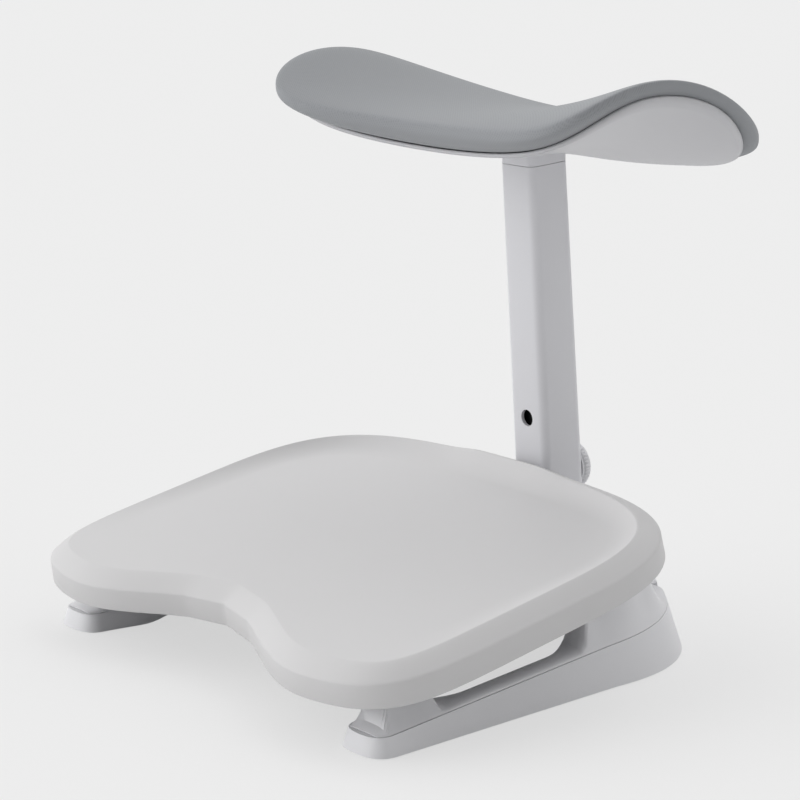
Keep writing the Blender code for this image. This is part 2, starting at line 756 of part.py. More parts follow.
# Mast and the socket that holds it
COLLAR_BORE = MAST_HALF + FIT
COLLAR_HALF = COLLAR_BORE + COLLAR_SKIN
COLLAR_CLEAR = COLLAR_HALF + PASSAGE_GAP
collar_passage = prism(COLLAR_CLEAR, MAST_RADIUS, -LOCK_HEIGHT, COLLAR_HEAD)
boolean(base_frame, add_object("collar_cutter", collar_passage, None, POST_FRAME, cutter=True))

mast_tube = add_object("mast_tube", prism(MAST_HALF, MAST_RADIUS, MAST_FOOT, MAST_HEAD), BLACK_STEEL,
                       POST_FRAME)
MAST_BORE = MAST_HALF - MAST_SKIN
mast_bore = prism(MAST_BORE, MAST_RADIUS - MAST_SKIN, MAST_FOOT - MAST_SKIN, MAST_HEAD + MAST_SKIN)
boolean(mast_tube, add_object("mast_bore", mast_bore, None, POST_FRAME, cutter=True))

FLANGE_LOW = PLATE_TOP + FIT
flange = bmesh.new()
bmesh.ops.create_cube(flange, size=1.0)
bmesh.ops.scale(flange, vec=(2 * FLANGE_HALF_X, 2 * FLANGE_HALF_Y, FLANGE_THICK), verts=flange.verts)
bmesh.ops.translate(flange, vec=(0.0, FLANGE_LINE, FLANGE_LOW + FLANGE_THICK / 2), verts=flange.verts)
mast_socket = add_object("mast_socket", flange, BLACK_STEEL, ROOT)
collar = prism(COLLAR_HALF, MAST_RADIUS + COLLAR_SKIN, COLLAR_FOOT, COLLAR_HEAD)
boolean(mast_socket, add_object("collar_body", collar, None, POST_FRAME, cutter=True), "UNION")
bore = prism(COLLAR_BORE, MAST_RADIUS + FIT, MAST_FOOT - FIT, COLLAR_HEAD + COLLAR_SKIN)
boolean(mast_socket, add_object("collar_bore", bore, None, POST_FRAME, cutter=True))

ACROSS = Matrix.Rotation(math.pi / 2, 4, "Y")
BOLT_AT = Matrix.Translation((0.0, 0.0, BOLT_HEIGHT))
BOLT_REACH = COLLAR_HALF + 2 * BOLT_HEAD
bolt_hole = cylinder(BOLT_RADIUS + SCREW_GAP, -BOLT_REACH, BOLT_REACH, SCREW_SEGMENTS, BOLT_AT @ ACROSS)
bolt_cutter = add_object("bolt_cutter", bolt_hole, None, POST_FRAME, cutter=True)
boolean(mast_tube, bolt_cutter)
boolean(mast_socket, bolt_cutter)
HEAD_FACE = COLLAR_HALF + FIT
bolt = turned([(BOLT_RADIUS, -HEAD_FACE - BOLT_HEAD - FIT), (BOLT_RADIUS, HEAD_FACE),
               (BOLT_HEAD_RADIUS, HEAD_FACE), (BOLT_HEAD_RADIUS, HEAD_FACE + BOLT_HEAD)],
              SCREW_SEGMENTS, BOLT_AT @ ACROSS)
add_object("mast_bolt", bolt, ZINC, POST_FRAME)
nut = turned([(BOLT_HEAD_RADIUS, -HEAD_FACE - BOLT_HEAD), (BOLT_HEAD_RADIUS, -HEAD_FACE)], 6,
             BOLT_AT @ ACROSS)
mast_nut = add_object("mast_nut", nut, ZINC, POST_FRAME)
boolean(mast_nut, bolt_cutter)

SCREW_X = FLANGE_HALF_X - FLANGE_SCREW_INSET
SCREW_Y = FLANGE_HALF_Y - FLANGE_SCREW_INSET
SHANK_HOLE = SCREW_RADIUS + SCREW_GAP
for number, (sx, sy) in enumerate(CORNERS, 1):
    face = FLANGE_LOW + FLANGE_THICK + FIT
    x, y = sx * SCREW_X, FLANGE_LINE + sy * SCREW_Y
    screw = screw_body(face, SOCKET_SCREW_LENGTH, Matrix.Translation((x, y, 0.0)))
    add_object(f"socket_screw_{number}", screw, ZINC, ROOT)
    hole = cylinder(SHANK_HOLE, 0.0, face + SCREW_HEAD, SCREW_SEGMENTS, at=(x, y))
    hole_cutter = add_object(f"socket_hole_{number}", hole, None, ROOT, cutter=True)
    boolean(mast_socket, hole_cutter)
    boolean(base_plate, hole_cutter)

# Nylon cap that guides the post at the mast's head
SLEEVE_LENGTH = SLEEVE_HEAD - SLEEVE_FOOT


def sleeve_half(z):
    """Half the post's outer size at a height: it narrows towards its head."""
    share = (z - SLEEVE_FOOT) / SLEEVE_LENGTH
    return (SLEEVE_SIZE + (SLEEVE_HEAD_SIZE - SLEEVE_SIZE) * share) / 2


CAP_TOP = MAST_HEAD + FIT + CAP_HEAD
cap_half = sleeve_half(CAP_TOP) - SLEEVE_SKIN - FIT
cap_radius = SLEEVE_RADIUS - SLEEVE_SKIN - FIT
spigot_half = MAST_BORE - FIT
mast_guide = loft([rounded_square(spigot_half, MAST_RADIUS - MAST_SKIN, MAST_HEAD - CAP_SPIGOT),
                   rounded_square(spigot_half, MAST_RADIUS - MAST_SKIN, MAST_HEAD + FIT),
                   rounded_square(cap_half, cap_radius, MAST_HEAD + FIT),
                   rounded_square(cap_half, cap_radius, CAP_TOP)])
add_object("mast_guide", mast_guide, GUIDE_PLASTIC, POST_FRAME)

# Post sleeve with its lower guide
sleeve_ends = (SLEEVE_FOOT, SLEEVE_HEAD)
sleeve_body = loft([rounded_square(sleeve_half(z), SLEEVE_RADIUS, z) for z in sleeve_ends])
post_sleeve = add_object("post_sleeve", sleeve_body, SHELL_PLASTIC, POST_FRAME)
bore_rings = []
for z in (SLEEVE_FOOT - SLEEVE_SKIN, SLEEVE_HEAD + SLEEVE_SKIN):
    half = sleeve_half(z) - SLEEVE_SKIN
    bore_rings.append(rounded_square(half, SLEEVE_RADIUS - SLEEVE_SKIN, z))
boolean(post_sleeve, add_object("sleeve_bore", loft(bore_rings), None, POST_FRAME, cutter=True))
FORWARD = Matrix.Rotation(math.pi / 2, 4, "X")
index_hole = cylinder(INDEX_HOLE_RADIUS, MAST_HALF + FIT, SLEEVE_SIZE, ROUND_SEGMENTS,
                      Matrix.Translation((0.0, 0.0, INDEX_HOLE_HEIGHT)) @ FORWARD)
boolean(post_sleeve, add_object("index_hole", index_hole, None, POST_FRAME, cutter=True))

GUIDE_TOP = SLEEVE_FOOT + GUIDE_HEIGHT
guide_half = sleeve_half(GUIDE_TOP) - SLEEVE_SKIN - FIT
guide_body = prism(guide_half, cap_radius, SLEEVE_FOOT, GUIDE_TOP)
sleeve_guide = add_object("sleeve_guide", guide_body, GUIDE_PLASTIC, POST_FRAME)
guide_bore = prism(COLLAR_BORE, MAST_RADIUS + FIT, SLEEVE_FOOT - FIT, GUIDE_TOP + FIT)
boolean(sleeve_guide, add_object("guide_bore", guide_bore, None, POST_FRAME, cutter=True))

# Lock: in its frame Z points out of the post's rear wall
WALL_OUT = sleeve_half(0.0)
WALL_IN = WALL_OUT - SLEEVE_SKIN
insert_hole = cylinder(INSERT_RADIUS + FIT, WALL_IN - SLEEVE_SKIN, WALL_OUT + SLEEVE_SKIN)
boolean(post_sleeve, add_object("insert_hole", insert_hole, None, LOCK_FRAME, cutter=True))
FLANGE_OUT = WALL_IN - FIT
INSERT_OUT = WALL_OUT + FIT
insert_body = turned([(INSERT_FLANGE_RADIUS, FLANGE_OUT - INSERT_FLANGE), (INSERT_FLANGE_RADIUS, FLANGE_OUT),
                      (INSERT_RADIUS, FLANGE_OUT), (INSERT_RADIUS, INSERT_OUT)])
lock_insert = add_object("lock_insert", insert_body, BRASS, LOCK_FRAME)
screw_bore = cylinder(LOCK_RADIUS + SCREW_GAP, 0.0, INSERT_OUT + SLEEVE_SKIN)
boolean(lock_insert, add_object("lock_bore", screw_bore, None, LOCK_FRAME, cutter=True))

TIP_IN = MAST_HALF + FIT
TIP_OUT = TIP_IN + TIP_LENGTH
tip_body = cylinder(TIP_RADIUS, TIP_IN, TIP_OUT)
add_object("lock_tip", tip_body, GUIDE_PLASTIC, LOCK_FRAME)

KNOB_IN = INSERT_OUT + FIT
KNOB_OUT = KNOB_IN + KNOB_COLLAR + KNOB_LENGTH
SCREW_OUT = KNOB_OUT - KNOB_EDGE - KNOB_FACE_DISH
add_object("lock_screw", cylinder(LOCK_RADIUS, TIP_OUT + FIT, SCREW_OUT), ZINC, LOCK_FRAME)


def knob_ring(radius, height, ridge):
    """A ring of the knob, every other point set in where it has ridges."""
    count = 2 * KNOB_RIDGES
    ring = []
    for k in range(count):
        r = radius - ridge * (k % 2)
        ring.append(Vector((r * math.cos(math.tau * k / count), r * math.sin(math.tau * k / count), height)))
    return ring


knob_body = loft([knob_ring(KNOB_COLLAR_RADIUS, KNOB_IN, 0.0),
                  knob_ring(KNOB_COLLAR_RADIUS, KNOB_IN + KNOB_COLLAR, 0.0),
                  knob_ring(KNOB_RADIUS, KNOB_IN + KNOB_COLLAR + KNOB_EDGE / 2, KNOB_RIDGE),
                  knob_ring(KNOB_RADIUS, KNOB_OUT - KNOB_EDGE, KNOB_RIDGE),
                  knob_ring(KNOB_RADIUS - KNOB_EDGE, KNOB_OUT, 0.0),
                  knob_ring(KNOB_RADIUS - KNOB_FACE_RING, KNOB_OUT - KNOB_FACE_DISH, 0.0)])
lock_knob = add_object("lock_knob", knob_body, SHELL_PLASTIC, LOCK_FRAME)
knob_bore = cylinder(LOCK_RADIUS + SCREW_GAP, 0.0, SCREW_OUT + FIT)
boolean(lock_knob, add_object("knob_bore", knob_bore, None, LOCK_FRAME, cutter=True))


# Leg pad


def pad_level(u, v):
    """Height of the pad's top: wings rise to the sides, and the front and rear roll down."""
    valley = (math.hypot(u, PAD_VALLEY) - PAD_VALLEY) / (math.hypot(1.0, PAD_VALLEY) - PAD_VALLEY)
    return PAD_HEIGHT + PAD_WING * valley - PAD_PITCH * v - (PAD_CROWN + PAD_WING_CROWN * u * u) * v * v


PAD_RIM = evenly(power_arc(PAD_HALF, PAD_REACH, PAD_SQUARENESS, 0.0, math.tau, 400)[:-1], PAD_SEGMENTS)


def pad_point(u, v, drop):
    """A point of the pad at shares of its half width and reach, some way under its top."""
    return Vector((PAD_HALF * u, PAD_LINE + PAD_REACH * v - PAD_SWEEP * u * u, pad_level(u, v) - drop))


def hull(rho):
    """Extra depth of the foam and shell inside the rim."""
    return PAD_HULL * (1 - rho ** PAD_HULL_POWER)


def pad_ring(rho, drop):
    """A ring of the pad at a share of the way to its rim."""
    return [pad_point(rho * x / PAD_HALF, rho * y / PAD_REACH, drop) for x, y in PAD_RIM]


def pad_roll(rho):
    """The rim's round section: share of half the edge's thickness at a share of the way out."""
    return (1 - rho ** PAD_ROLL) ** (1 / PAD_ROLL)


FOAM_STEP = PAD_SKIN + SOFT_GAP


def pad_under(rho):
    """Depth of the cover's outer form under the rim, from the pad's top."""
    roll = pad_roll(rho)
    return PAD_EDGE / 2 * (1 + roll) + hull(rho) + FOAM_STEP * roll


def pad_foam():
    """The foam: the cover's outer form, closed below by its bed in the shell, moved in by the skin."""
    rings = [pad_ring(rho, pad_under(rho)) for rho in reversed(PAD_SHARES[1:])]
    for rho in PAD_SHARES:
        rings.append(pad_ring(rho, PAD_EDGE / 2 * (1 - pad_roll(rho))))
    bm = loft(rings, (pad_point(0.0, 0.0, pad_under(0.0)), pad_point(0.0, 0.0, 0.0)))
    bm.normal_update()
    moved = [vert.co - FOAM_STEP * vert.normal for vert in bm.verts]
    for vert, place in zip(bm.verts, moved):
        vert.co = place
    return bm


add_object("pad_foam", pad_foam(), FOAM, ROOT)

tuck_shares = [rho for rho in reversed(PAD_SHARES) if TUCK_SHARE < rho < 1]
cover_rings = [pad_ring(rho, pad_under(rho)) for rho in (TUCK_SHARE, *tuck_shares)]
cover_rings += [pad_ring(rho, PAD_EDGE / 2 * (1 - pad_roll(rho))) for rho in PAD_SHARES]
pad_cover = add_object("pad_cover", closed_surface(cover_rings, pad_point(0.0, 0.0, 0.0)), FABRIC, ROOT)
thicken(pad_cover, PAD_SKIN)



def rim_share(u, v):
    """How far out a point of the pad lies, as a share of the way to its rim."""
    return (abs(u) ** PAD_SQUARENESS + abs(v) ** PAD_SQUARENESS) ** (1 / PAD_SQUARENESS)


def shell_depth(rho):
    """Depth of the shell's upper face, in which the foam lies."""
    return PAD_EDGE + SOFT_GAP + hull(rho)


def lip_depth(rho):
    """Depth of the shell's edge, which meets the cover."""
    return pad_under(rho) + SOFT_GAP


def shell_ring(scale, depth):
    """A ring of the shell, which keeps further in along the pad's front and rear than at its wings."""
    ring = []
    for x, y in PAD_RIM:
        u, v = scale * SHELL_ACROSS * x / PAD_HALF, scale * SHELL_ALONG * y / PAD_REACH
        ring.append(pad_point(u, v, depth(rim_share(u, v))))
    return ring


shell_rings = [shell_ring(1.0, lip_depth)] + [shell_ring(scale, shell_depth) for scale in SHELL_SHARES]
shell_bottom = pad_point(0.0, 0.0, shell_depth(0.0))
pad_shell = add_object("pad_shell", closed_surface(shell_rings, shell_bottom), SHELL_PLASTIC, ROOT)
thicken(pad_shell, SHELL_SKIN)

# Tapered plug that the pad's screws draw up into the narrowing post, under a flat boss on the shell
plug_rings = []
for z in (SLEEVE_HEAD - BRACKET_LENGTH, SLEEVE_HEAD):
    plug_rings.append(rounded_square(sleeve_half(z) - SLEEVE_SKIN - FIT, cap_radius, z))
pad_bracket = add_object("pad_bracket", loft(plug_rings), SHELL_PLASTIC, POST_FRAME)
BOSS_LOW = SLEEVE_HEAD + FIT
POST_PLACE = Matrix.Translation((0.0, POST_LINE, LOCK_HEIGHT)) @ Matrix.Rotation(POST_LEAN, 4, "X")


def shell_middle(x, y):
    """Height of the middle of the shell's skin over a point of the plan."""
    u = x / PAD_HALF
    v = (y - PAD_LINE + PAD_SWEEP * u * u) / PAD_REACH
    return pad_level(u, v) - shell_depth(rim_share(u, v)) - SHELL_SKIN / 2


boss_ring = rounded_square(sleeve_half(SLEEVE_HEAD), SLEEVE_RADIUS, BOSS_LOW)
boss_foot = [POST_PLACE @ point for point in boss_ring]
boss = loft([boss_foot, [Vector((p.x, p.y, shell_middle(p.x, p.y))) for p in boss_foot]])
boolean(pad_shell, add_object("shell_boss", boss, None, ROOT, cutter=True), "UNION")


# Screws that hold the pad's shell to the bracket, their heads sunk in the boss
HEAD_SEAT = BOSS_LOW + PAD_SCREW_SEAT
HEAD_HOLE = SCREW_HEAD_RADIUS + SCREW_GAP
for number, (sx, sy) in enumerate(CORNERS, 1):
    place = Matrix.Translation((sx * BRACKET_SCREW_SPREAD, sy * BRACKET_SCREW_SPREAD, 0.0))
    screw = screw_body(HEAD_SEAT + FIT, PAD_SCREW_LENGTH, place)
    add_object(f"pad_screw_{number}", screw, ZINC, POST_FRAME)
    hole = turned([(SHANK_HOLE, HEAD_SEAT - PAD_SCREW_LENGTH - FIT), (SHANK_HOLE, HEAD_SEAT),
                   (HEAD_HOLE, HEAD_SEAT), (HEAD_HOLE, HEAD_SEAT + PAD_SCREW_ACCESS)], SCREW_SEGMENTS, place)
    hole_cutter = add_object(f"pad_hole_{number}", hole, None, POST_FRAME, cutter=True)
    boolean(pad_bracket, hole_cutter)
    boolean(pad_shell, hole_cutter)

# Screws that hold the deck down, driven from inside the base covers
UNDER_SKIN = UNDERPAN_LEVEL - FIT - COVER_SKIN - FIT
DECK_SCREWS = {"front": (FOOT_INNER + DECK_SCREW_INSET, DECK_SCREW_FRONT),
               "rear": (BAY_HALF + DECK_SCREW_INSET, DECK_SCREW_REAR)}
for end, (x, y) in DECK_SCREWS.items():
    for side, sign in (("left", -1), ("right", 1)):
        over = Matrix.Translation((sign * x, y, 0.0)) @ Matrix.Rotation(math.pi, 4, "X")
        screw = screw_body(-UNDER_SKIN, DECK_SCREW_LENGTH, over)
        add_object(f"deck_screw_{end}_{side}", screw, ZINC, DECK_FRAME)
        hole = cylinder(SHANK_HOLE, UNDER_SKIN - SCREW_HEAD, UNDER_SKIN + DECK_SCREW_LENGTH,
                        SCREW_SEGMENTS, at=(sign * x, y))
        hole_cutter = add_object(f"deck_hole_{end}_{side}", hole, None, DECK_FRAME, cutter=True)
        boolean(deck_underpan, hole_cutter)
        boolean(bpy.data.objects[f"base_cover_{side}"], hole_cutter)
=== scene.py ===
"""Looks of the two-level footrest, built round its CAD frame. Metres, +Z up, the user on the -Y side."""
import json
import math

import bmesh
import bpy
from mathutils import Matrix, Vector


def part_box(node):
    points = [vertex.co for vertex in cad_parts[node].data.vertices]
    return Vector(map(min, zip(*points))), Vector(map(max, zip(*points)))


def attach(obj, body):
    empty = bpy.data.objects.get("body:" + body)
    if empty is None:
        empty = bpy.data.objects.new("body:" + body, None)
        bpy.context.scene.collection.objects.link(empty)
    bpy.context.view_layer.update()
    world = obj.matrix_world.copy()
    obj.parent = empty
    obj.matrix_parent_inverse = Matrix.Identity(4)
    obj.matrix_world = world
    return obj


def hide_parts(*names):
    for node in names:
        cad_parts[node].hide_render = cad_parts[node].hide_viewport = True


# Foot deck, along its slope from its reference line
DECK_WIDTH = 0.460
DECK_FRONT = 0.1607
DECK_REAR = 0.1795
DECK_HEIGHT = 0.0834
DECK_TILT = math.radians(11.4)
DECK_WALL = 0.0178
DECK_DRAFT = 0.001
DECK_SKIN = 0.003
DECK_FILLET = 0.0012
FRONT_SQUARENESS = 6.0
REAR_SQUARENESS = 3.3
NOTCH_DEPTH = 0.042
NOTCH_HALF = 0.154
NOTCH_POWER = 2.3
RIM_WIDTH = 0.0165
RIM_HEIGHT = 0.0095
RIM_ROUND = 1.25
DISH_DEPTH = 0.010
DISH_SLOPE = 0.024
DISH_START = 0.050
REAR_RISE = 0.004
REAR_RISE_HALF = 0.055
DECK_POINTS = 320
OUTLINE_STEPS = 300
FILLET_BEND = 0.3
CREASE_DRAFT = 0.1
CREASE_BEND = 0.35
RIM_STEPS = 14
RIM_START = 0.03
SLOPE_STEPS = 12
SLOPE_BUNCHING = 1.5
FLOOR_SHARES = (0.85, 0.7, 0.55, 0.4, 0.25, 0.1)
DECK_SHARP = 75.0

# Leg pad
PAD_HALF = 0.1935
PAD_LINE = 0.188
PAD_REACH = 0.1236
PAD_SQUARENESS = 3.9
PAD_SWEEP = 0.0415
PAD_HEIGHT = 0.4064
PAD_WING = 0.0393
PAD_VALLEY = 0.95
PAD_PITCH = 0.0131
PAD_CROWN = 0.0145
PAD_WING_CROWN = 0.0371
PAD_EDGE = 0.0166
PAD_HULL = 0.017
PAD_HULL_POWER = 5.4
PAD_ROLL = 4.0
PAD_BED = 0.0021
PAD_SINK = 0.002
PAD_POINTS = 200
PAD_RIM_STEPS = 800
ROLL_STEPS = 10
ROLL_EDGE = 0.90
FIELD_STEPS = 22
HELD_EDGE = 0.98
MERGE_DISTANCE = 0.000001
PAD_SHARP = 80.0
SHELL_SKIN = 0.003
SHELL_ACROSS = 0.985
SHELL_ALONG = 0.84
SHELL_LIP = 0.02
SHELL_GAP = 0.0006
SHELL_STEPS = 24
SHELL_BUNCHING = 1.5

# Post, for the boss that joins the shell to it
POST_LEAN = math.radians(4.5)
POST_LINE = 0.2015
LOCK_HEIGHT = 0.112
POST_HEAD_SIZE = 0.039
POST_RADIUS = 0.007
BOSS_LOW = 0.2508

# Cloth
CLOTH_FRAMES = 20
CLOTH_PRESSURE = 4.0
CLOTH_LIMIT = 0.005
CLOTH_CALM = 12
CLOTH_QUALITY = 6
CLOTH_MASS = 0.3
CLOTH_TENSION = 25.0
CLOTH_SHEAR = 12.0
CLOTH_BENDING = 10.0

# Camera, in the deck's own frame before it is centred
CAMERA_EYE = (1.5115, -1.1533, 0.6077)
CAMERA_AZIMUTH = math.radians(51.5)
CAMERA_ELEVATION = math.radians(12.2)
CAMERA_LENS = 117.0

# Sky: a few wide soft lights round the object: azimuth from +X, elevation and level
SKY_LEVEL = 0.04
SKY_LIGHTS = {"right": (30.0, 16.0, 0.95), "rear": (105.0, 52.0, 1.5), "left": (180.0, 30.0, 1.05),
              "front_left": (240.0, 15.0, 2.5)}
SKY_LIGHT_POWER = 4.0

# Floor, with the glow that the eye sees in it
GROUND_SIZE = 60.0
GROUND_GLOW = 0.86
GROUND_GLOW_SHARE = 0.7

# Edges of the CAD pieces that stay in view
EDGE_BEVEL = 0.0008
EDGE_ANGLE = math.radians(35)
EDGE_SEGMENTS = 2
WELD_DISTANCE = 0.00001

# Grain and mottle of every finish, and the pad's yarn
MOTTLE_SCALE = 9.0
MOTTLE_DETAIL = 3.0
GRAIN_DETAIL = 2.0
ROUGHNESS_SPREAD = 0.08
YARN_ROUGHNESS = 0.9
YARN_MOTTLE = 0.05
YARN_SHEEN = 0.12
YARN_SHEEN_ROUGHNESS = 0.5
YARN_TILT = math.radians(35)
YARN_TURN = math.radians(45)
YARN_WANDER = 0.6
YARN_SHADE = (0.90, 1.04)
FIBRE_SIZE = 0.5
FIBRE_DEPTH = 0.4
WAVE_PERIOD = 0.31

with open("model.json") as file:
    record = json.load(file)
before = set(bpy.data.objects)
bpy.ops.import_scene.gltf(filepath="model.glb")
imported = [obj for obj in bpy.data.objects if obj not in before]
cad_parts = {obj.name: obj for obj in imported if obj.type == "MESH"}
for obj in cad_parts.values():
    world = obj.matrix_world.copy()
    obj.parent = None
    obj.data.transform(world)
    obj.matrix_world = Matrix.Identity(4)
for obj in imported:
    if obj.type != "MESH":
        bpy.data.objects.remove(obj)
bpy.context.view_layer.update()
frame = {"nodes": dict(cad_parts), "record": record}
nodes = frame["nodes"]
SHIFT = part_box("pad_cover")[1].y - PAD_LINE - PAD_REACH


# Materials


def surface(name, colour, roughness, grain_size, grain_depth, mottle=0.02, metallic=0.0, specular=0.5):
    """A Principled material with a fine grain and a faint mottle, both procedural."""
    made = bpy.data.materials.new(name)
    made.use_nodes = True
    tree = made.node_tree
    shader = tree.nodes["Principled BSDF"]
    shader.inputs["Metallic"].default_value = metallic
    shader.inputs["Specular IOR Level"].default_value = specular
    place = tree.nodes.new("ShaderNodeTexCoord")
    cloud = tree.nodes.new("ShaderNodeTexNoise")
    cloud.inputs["Scale"].default_value = MOTTLE_SCALE
    cloud.inputs["Detail"].default_value = MOTTLE_DETAIL
    tree.links.new(place.outputs["Object"], cloud.inputs["Vector"])
    tint = tree.nodes.new("ShaderNodeMix")
    tint.data_type = "RGBA"
    tint.inputs["A"].default_value = (*[c * (1 - mottle) for c in colour], 1.0)
    tint.inputs["B"].default_value = (*[min(c * (1 + mottle), 1.0) for c in colour], 1.0)
    tree.links.new(cloud.outputs["Fac"], tint.inputs["Factor"])
    tree.links.new(tint.outputs["Result"], shader.inputs["Base Color"])
    spread = tree.nodes.new("ShaderNodeMapRange")
    spread.inputs["To Min"].default_value = roughness * (1 - ROUGHNESS_SPREAD)
    spread.inputs["To Max"].default_value = min(roughness * (1 + ROUGHNESS_SPREAD), 1.0)
    tree.links.new(cloud.outputs["Fac"], spread.inputs["Value"])
    tree.links.new(spread.outputs["Result"], shader.inputs["Roughness"])
    grain = tree.nodes.new("ShaderNodeTexNoise")
    grain.inputs["Scale"].default_value = 1.0 / grain_size
    grain.inputs["Detail"].default_value = GRAIN_DETAIL
    tree.links.new(place.outputs["Object"], grain.inputs["Vector"])
    bump = tree.nodes.new("ShaderNodeBump")
    bump.inputs["Strength"].default_value = 1.0
    bump.inputs["Distance"].default_value = grain_depth
    tree.links.new(grain.outputs["Fac"], bump.inputs["Height"])
    tree.links.new(bump.outputs["Normal"], shader.inputs["Normal"])
    return made


def knit(name, colour, stitch, depth):
    """A fine knit: two crossed sets of yarn lines over a fibre noise."""
    made = surface(name, colour, YARN_ROUGHNESS, stitch * FIBRE_SIZE, depth * FIBRE_DEPTH, YARN_MOTTLE)
    tree = made.node_tree
    shader = tree.nodes["Principled BSDF"]
    shader.inputs["Sheen Weight"].default_value = YARN_SHEEN
    shader.inputs["Sheen Roughness"].default_value = YARN_SHEEN_ROUGHNESS
    place = next(n for n in tree.nodes if n.bl_idname == "ShaderNodeTexCoord")
    bump = next(n for n in tree.nodes if n.bl_idname == "ShaderNodeBump")
    grain = bump.inputs["Height"].links[0].from_socket
    yarns = []
    for side in (1, -1):
        lay = tree.nodes.new("ShaderNodeMapping")
        lay.inputs["Rotation"].default_value = (0.0, side * YARN_TILT, side * YARN_TURN)
        tree.links.new(place.outputs["Object"], lay.inputs["Vector"])
        yarn = tree.nodes.new("ShaderNodeTexWave")
        yarn.inputs["Scale"].default_value = WAVE_PERIOD / stitch
        yarn.inputs["Distortion"].default_value = YARN_WANDER
        tree.links.new(lay.outputs["Vector"], yarn.inputs["Vector"])
        yarns.append(yarn)
    cross = tree.nodes.new("ShaderNodeMath")
    cross.operation = "MAXIMUM"
    for yarn, socket in zip(yarns, cross.inputs):
        tree.links.new(yarn.outputs["Fac"], socket)
    total = tree.nodes.new("ShaderNodeMath")
    total.operation = "ADD"
    tree.links.new(cross.outputs["Value"], total.inputs[0])
    tree.links.new(grain, total.inputs[1])
    tree.links.new(total.outputs["Value"], bump.inputs["Height"])
    bump.inputs["Distance"].default_value = depth
    shade = tree.nodes.new("ShaderNodeMapRange")
    shade.inputs["To Min"].default_value, shade.inputs["To Max"].default_value = YARN_SHADE
    tree.links.new(cross.outputs["Value"], shade.inputs["Value"])
    old = shader.inputs["Base Color"].links[0].from_socket
    scale = tree.nodes.new("ShaderNodeVectorMath")
    scale.operation = "SCALE"
    tree.links.new(old, scale.inputs[0])
    tree.links.new(shade.outputs["Result"], scale.inputs["Scale"])
    tree.links.new(scale.outputs["Vector"], shader.inputs["Base Color"])
    return made


DECK_PLASTIC = surface("deck_plastic", (0.61, 0.605, 0.61), 0.50, 0.0011, 0.00003)
SHELL_PLASTIC = surface("shell_plastic", (0.76, 0.76, 0.78), 0.42, 0.0009, 0.00002)
PAD_PLASTIC = surface("pad_plastic", (0.55, 0.55, 0.57), 0.42, 0.0009, 0.00002)
POST_PLASTIC = surface("post_plastic", (0.67, 0.67, 0.695), 0.40, 0.0009, 0.00002)
GUIDE_PLASTIC = surface("guide_plastic", (0.30, 0.30, 0.31), 0.55, 0.001, 0.00003)
RUBBER = surface("foot_rubber", (0.04, 0.04, 0.042), 0.85, 0.0012, 0.00005)
BLACK_STEEL = surface("black_steel", (0.012, 0.012, 0.013), 0.45, 0.0006, 0.00001, metallic=0.6)
BRASS = surface("turned_brass", (0.62, 0.45, 0.20), 0.30, 0.0006, 0.00001, metallic=1.0)
ZINC = surface("zinc_plate", (0.55, 0.55, 0.57), 0.35, 0.0006, 0.00001, metallic=1.0)
FABRIC = knit("pad_knit", (0.285, 0.295, 0.31), 0.0015, 0.00008)
FOAM = surface("pad_foam", (0.70, 0.67, 0.55), 0.95, 0.0008, 0.0001)

FINISHES = {"deck_plastic": DECK_PLASTIC, "shell_plastic": SHELL_PLASTIC, "guide_plastic": GUIDE_PLASTIC,
            "fabric": FABRIC, "foam": FOAM, "rubber": RUBBER, "black_steel": BLACK_STEEL, "brass": BRASS,
            "zinc": ZINC}
NODE_FINISHES = {"post_sleeve": POST_PLASTIC, "pad_bracket": POST_PLASTIC, "pad_shell": PAD_PLASTIC}
BEVELLED = ("base_frame", "base_cover_left", "base_cover_right", "rear_housing", "post_sleeve")


# Shared helpers


def show(name, bm, finish, body, stands_for=(), sharp=40.0):
    """Make a piece from a bmesh, give it its finish and let it ride a body."""
    mesh = bpy.data.meshes.new(name)
    bm.to_mesh(mesh)
    bm.free()
    mesh.materials.append(finish)
    mesh.shade_smooth()
    mesh.set_sharp_from_angle(angle=math.radians(sharp))
    piece = bpy.data.objects.new(name, mesh)
    bpy.context.scene.collection.objects.link(piece)
    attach(piece, body)
    if stands_for:
        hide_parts(*stands_for)
    return piece


def smooth(value):
    """A smooth step from 0 to 1."""
    value = min(max(value, 0.0), 1.0)
    return value * value * (3 - 2 * value)


def fall(value):
    """A step from 0 to 1 that starts at a crisp edge and ends level."""
    value = min(max(value, 0.0), 1.0)
    return 1 - (1 - value) ** 2


def power_arc(half_x, half_y, squareness, start, end, steps):
    """Points of a superellipse from one angle to another."""
    points = []
    for k in range(steps + 1):
        angle = start + (end - start) * k / steps
        c, s = math.cos(angle), math.sin(angle)
        points.append((half_x * math.copysign(abs(c) ** (2 / squareness), c),
                       half_y * math.copysign(abs(s) ** (2 / squareness), s)))
    return points


def evenly(points, count):
    """The same closed outline with evenly spaced points."""
    lengths = [0.0]
    closed = points + points[:1]
    for a, b in zip(closed, closed[1:]):
        lengths.append(lengths[-1] + math.dist(a, b))
    spaced, k = [], 0
    for n in range(count):
        target = lengths[-1] * n / count
        while lengths[k + 1] < target:
            k += 1
        part = (target - lengths[k]) / (lengths[k + 1] - lengths[k])
        spaced.append(tuple(p + (q - p) * part for p, q in zip(closed[k], closed[k + 1])))
    return spaced


